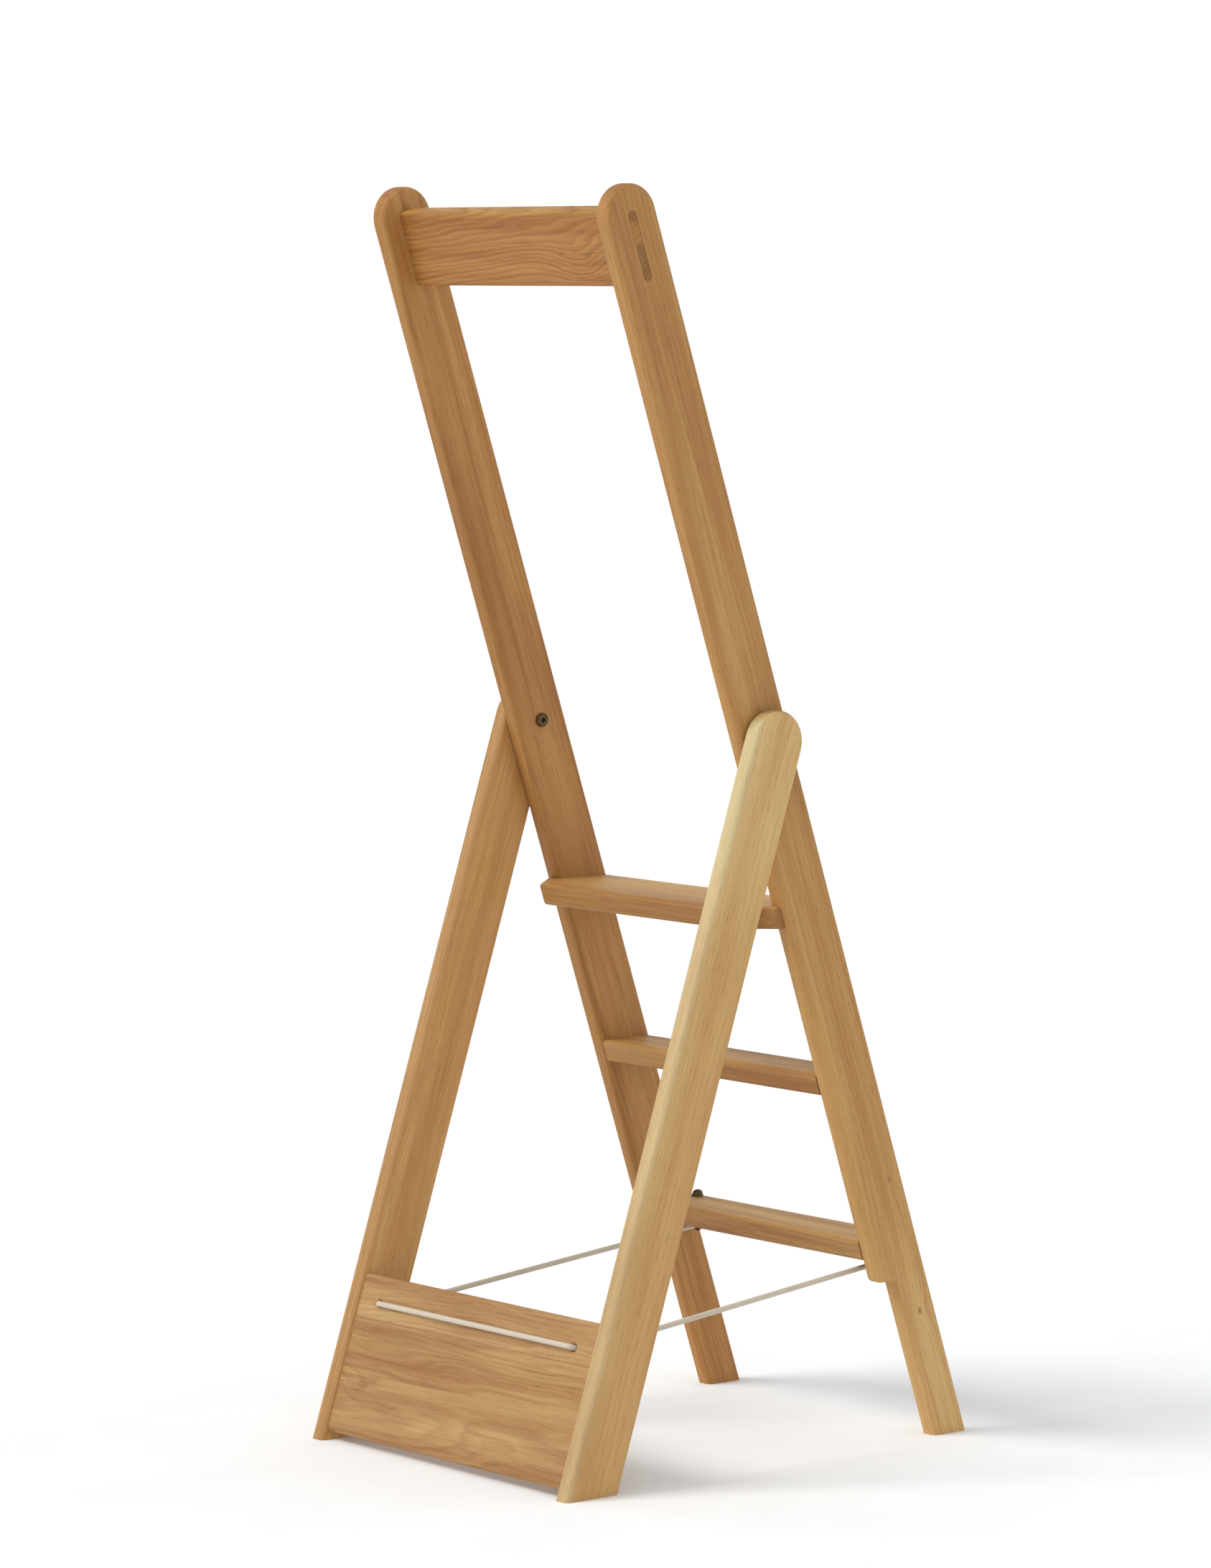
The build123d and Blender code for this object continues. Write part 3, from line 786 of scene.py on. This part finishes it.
def build_side_span(side, sign, material):
    """The taut stretch from a hole in the board, through its eye and its stop."""
    inner = support_point(sign * CORD_X, BOARD_MIDDLE_DEPTH, CORD_DROP)
    mouth, eye, ahead = side_span_ends(sign)
    near = mouth + ahead * (mouth - inner).length
    end = eye + ahead * (STOP_START + STOP_LONG + CORD_TAIL)
    cord = braided_cord(f"cord_side_span_braid_{side}", [inner, mouth, near, end], material)
    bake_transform(cord)
    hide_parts(f"cord_side_span_{side}")


def build_cord():
    """One cord in three pieces: its rear span and its two side spans."""
    material = cord_material()
    build_rear_span(material)
    for side, sign in SIDES.items():
        build_side_span(side, sign, material)


# ---------------------------------------------------------------- fittings

UP = Vector((0, 0, 1))
EDGE = 0.0002  # how far a turned edge is broken

# Shares of the nut's height where its collar and its wall end
NUT_COLLAR = 0.16
NUT_WALL = 0.42

# Shares of the nut's radius: at its foot, on its collar's upper edge, and at the foot and top of its wall
NUT_FOOT_WIDTH = 0.97
NUT_EDGE_WIDTH = 0.96
NUT_WALL_WIDTH = 0.88
NUT_DOME_WIDTH = 0.87
DOME_STEPS = 10
DOME_TIP = 0.00002  # radius

EYE_NECK_RADIUS = 0.0022
EYE_NECK_TAPER = 0.0002
EYE_NECK_START = 0.0006
EYE_COLLAR_RADIUS = 0.0040
EYE_COLLAR_THICK = 0.0009
EYE_COLLAR_EDGE = 0.0001
EYE_SHANK_RADIUS = 0.0025

STOP_RADIUS = 0.0055
STOP_BORE = 0.0031
STOP_MOUTH = 0.80  # the radius next to both ends, as a share of the full one
STOP_STEPS = 40
STOP_CRIMPS = 1.5  # waves of crimping along the sleeve
STOP_CRIMP_DEPTH = 0.0009
STOP_SHOULDER_DEPTH = 0.0013
STOP_SHOULDER_POWER = 9  # how late the ends start to round

TENON_LONG = 0.074
TENON_THICK = 0.010
TENON_ABOVE_PIVOT = 0.540
TENON_LINE_INWARD = 0.0002  # how much smaller and larger than the tenon the two edges of its line are
TENON_LINE_OUTWARD = 0.0007
TENON_LINE_PROUD = 0.00008


def dome_profile(start, width, height):
    """A quarter round of (distance along, radius) points that closes a domed end."""
    points = []
    for step in range(1, DOME_STEPS + 1):
        angle = math.pi / 2 * step / DOME_STEPS
        points.append((start + height * math.sin(angle), max(width * math.cos(angle), DOME_TIP)))
    return points


def build_nut(side, metal):
    """A domed nut on a thin collar, on top of the bottom tread."""
    low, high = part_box(f"cord_eye_nut_{side}")
    base = Vector(((low.x + high.x) / 2, (low.y + high.y) / 2, low.z))
    radius = (high.x - low.x) / 2
    tall = high.z - low.z
    collar = NUT_COLLAR * tall
    wall = NUT_WALL * tall
    profile = [
        (0.0, NUT_FOOT_WIDTH * radius),
        (EDGE, radius),
        (collar - EDGE, radius),
        (collar, NUT_EDGE_WIDTH * radius),
        (collar, NUT_WALL_WIDTH * radius),
        (wall, NUT_DOME_WIDTH * radius),
    ]
    profile += dome_profile(wall, NUT_DOME_WIDTH * radius, tall - wall)
    nut = add_mesh(f"eye_nut_{side}", *lathe(profile, base, UP), metal)
    finish_piece(nut, "climbing_frame", "dark_bronze", f"cord_eye_nut_{side}")


def build_eye(side, sign, metal):
    """A forged eye: its ring, a tapered neck, a collar against the tread and the shank in the tread."""
    centre = eye_centre(sign)
    vertices, faces = torus(centre, EYE_RING_RADIUS, EYE_WIRE_RADIUS)
    foot = centre + UP * EYE_RING_RADIUS
    tread_low, tread_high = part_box("bottom_tread")
    under = tread_low.z - foot.z
    top = tread_high.z - foot.z
    collar = under - EYE_COLLAR_THICK
    profile = [
        (0.0, EYE_NECK_RADIUS - EYE_NECK_TAPER),
        (EYE_NECK_START, EYE_NECK_RADIUS),
        (collar - EYE_COLLAR_EDGE, EYE_NECK_RADIUS + EYE_NECK_TAPER),
        (collar, EYE_COLLAR_RADIUS),
        (under - EYE_COLLAR_EDGE, EYE_COLLAR_RADIUS),
        (under - EYE_COLLAR_EDGE, EYE_SHANK_RADIUS),
        (top, EYE_SHANK_RADIUS),
    ]
    neck, neck_faces = lathe(profile, foot, UP, steps=28)
    faces += [tuple(index + len(vertices) for index in face) for face in neck_faces]
    eye = add_mesh(f"eye_bolt_{side}", vertices + neck, faces, metal)
    finish_piece(eye, "climbing_frame", "dark_bronze", f"cord_eye_{side}")


def build_stop(side, sign, metal):
    """A sleeve on the cord's end, crimped a third of the way along and at its outer end."""
    _, eye, ahead = side_span_ends(sign)
    profile = [(0.0, STOP_BORE), (EDGE, STOP_MOUTH * STOP_RADIUS)]
    for step in range(1, STOP_STEPS):
        share = step / STOP_STEPS
        crimp = max(math.sin(2 * math.pi * share * STOP_CRIMPS - math.pi / 2), 0.0) ** 2
        shoulder = abs(2 * share - 1) ** STOP_SHOULDER_POWER
        radius = STOP_RADIUS - STOP_CRIMP_DEPTH * crimp - STOP_SHOULDER_DEPTH * shoulder
        profile.append((STOP_LONG * share, radius))
    profile += [(STOP_LONG - EDGE, STOP_MOUTH * STOP_RADIUS), (STOP_LONG, STOP_BORE)]
    stop = add_mesh(f"crimped_stop_{side}", *lathe(profile, eye + ahead * STOP_START, ahead), metal)
    finish_piece(stop, "climbing_frame", "dark_bronze", f"cord_stop_{side}")


def slot_outline(grow, steps=12):
    """Points round the tenon's end, grown on all sides, as (across its width, along its length)."""
    radius = (TENON_THICK + grow) / 2
    straight = (TENON_LONG + grow) / 2 - radius
    points = []
    for centre, start in ((straight, 0.0), (-straight, math.pi)):
        for step in range(steps + 1):
            angle = start + math.pi * step / steps
            points.append((radius * math.cos(angle), centre + radius * math.sin(angle)))
    return points


def build_tenon_line(side, sign):
    """The dark line round a rail tenon's end, where it comes through the stile: a glue line with painted
    shadow of the joint's gap.
    """
    low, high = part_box("top_rail")
    face = Vector((sign * ((high.x - low.x) / 2 + TENON_LINE_PROUD), 0, 0))
    turn = Matrix.Rotation(-LEAN, 3, "X")
    inner = slot_outline(-TENON_LINE_INWARD)
    outer = slot_outline(TENON_LINE_OUTWARD)
    vertices = []
    for across, along in inner + outer:
        vertices.append(PIVOT + face + turn @ Vector((0, across, TENON_ABOVE_PIVOT + along)))
    count = len(inner)
    faces = []
    for index in range(count):
        after = (index + 1) % count
        ring = (index, after, after + count, index + count)
        faces.append(ring if sign > 0 else tuple(reversed(ring)))
    line = add_mesh(f"tenon_line_{side}", vertices, faces, tenon_line_material(side), smooth=False)
    finish_piece(line, "climbing_frame", "oak")


def build_fittings():
    """Every metal piece, and the plain CAD ones' better materials."""
    metal = bronze()
    steel = turned_metal("Zinc steel", ZINC_GREY, rough=0.34)
    brass = turned_metal("Machined brass", BRASS_YELLOW, rough=0.30)
    for side, sign in SIDES.items():
        build_nut(side, metal)
        build_eye(side, sign, metal)
        build_stop(side, sign, metal)
        build_tenon_line(side, sign)
        paint(f"pivot_bolt_{side}", metal)
        paint(f"pivot_washer_{side}", steel)
        paint(f"pivot_sleeve_{side}", steel)
        paint(f"pivot_bush_{side}", brass)


# ---------------------------------------------------------------- the studio

FLOOR_HALF = 60.0

HORIZON_LIGHT = 1.05
HORIZON_TOP = 0.12  # sine of the height where the bright band starts to fade
HORIZON_FADE = 2.5  # it has faded out at this many times that height
SKY_LIGHT = 0.74
SKY_COLOUR = (0.968, 0.994, 1.01, 1)

SUN_LIGHT = 1.55
SUN_COLOUR = (1.0, 0.98, 0.95)
SUN_SPREAD = math.radians(26)
SUN_FROM = Vector((0.25, 0.62, 0.74))

# Where the camera stands, where it looks and how long its lens is
CAMERA_AT = Vector((-4.874, 4.015, 1.266))
CAMERA_YAW = math.radians(50.905)  # from -Y round towards +X
CAMERA_PITCH = math.radians(-5.085)
CAMERA_ROLL = math.radians(-0.10)
LENS_MM = 136.57
SENSOR_MM = 36.0
CLIP_NEAR = 0.1
CLIP_FAR = 200.0


def build_floor():
    """A wide, pale floor under the feet."""
    half = FLOOR_HALF
    corners = [(-half, -half, 0), (half, -half, 0), (half, half, 0), (-half, half, 0)]
    add_mesh("studio_floor", corners, [(0, 1, 2, 3)], floor_material(), smooth=False)


def build_world():
    """White at the horizon, where the camera sees it, and a dimmer, even sky above."""
    world = bpy.data.worlds.new("Studio")
    world.use_nodes = True
    bpy.context.scene.world = world
    nodes = Nodes(world.node_tree)
    background = world.node_tree.nodes["Background"]
    direction = nodes.add("ShaderNodeTexCoord").outputs["Generated"]
    height = nodes.split(direction)["Z"]
    fade_end = HORIZON_FADE * HORIZON_TOP
    strength = nodes.range(height, HORIZON_TOP, fade_end, HORIZON_LIGHT, SKY_LIGHT, smooth=True)
    nodes.set(background.inputs["Strength"], strength)
    nodes.set(background.inputs["Color"], SKY_COLOUR)


def build_sun():
    """One large, soft light high behind the support frame."""
    data = bpy.data.lights.new("Key", "SUN")
    data.energy = SUN_LIGHT
    data.angle = SUN_SPREAD
    data.color = SUN_COLOUR
    sun = bpy.data.objects.new("Key", data)
    sun.rotation_euler = SUN_FROM.to_track_quat("Z", "Y").to_euler()
    bpy.context.scene.collection.objects.link(sun)


def build_camera():
    """A long lens at the object's usual three-quarter view."""
    level = math.cos(CAMERA_PITCH)
    ahead = Vector((level * math.sin(CAMERA_YAW), -level * math.cos(CAMERA_YAW), math.sin(CAMERA_PITCH)))
    data = bpy.data.cameras.new("Camera")
    data.lens = LENS_MM
    data.sensor_width = SENSOR_MM
    data.clip_start = CLIP_NEAR
    data.clip_end = CLIP_FAR
    camera = bpy.data.objects.new("Camera", data)
    camera.location = CAMERA_AT
    turn = ahead.to_track_quat("-Z", "Y") @ Euler((0, 0, CAMERA_ROLL)).to_quaternion()
    camera.rotation_euler = turn.to_euler()
    bpy.context.scene.collection.objects.link(camera)
    bpy.context.scene.camera = camera


build_camera()
build_cord()
paint_stiles()
paint_legs()
paint_rail()
paint_treads()
paint_board()
paint_loose_tenons()
build_fittings()
build_floor()
build_world()
build_sun()
bpy.context.scene.view_settings.view_transform = "Standard"
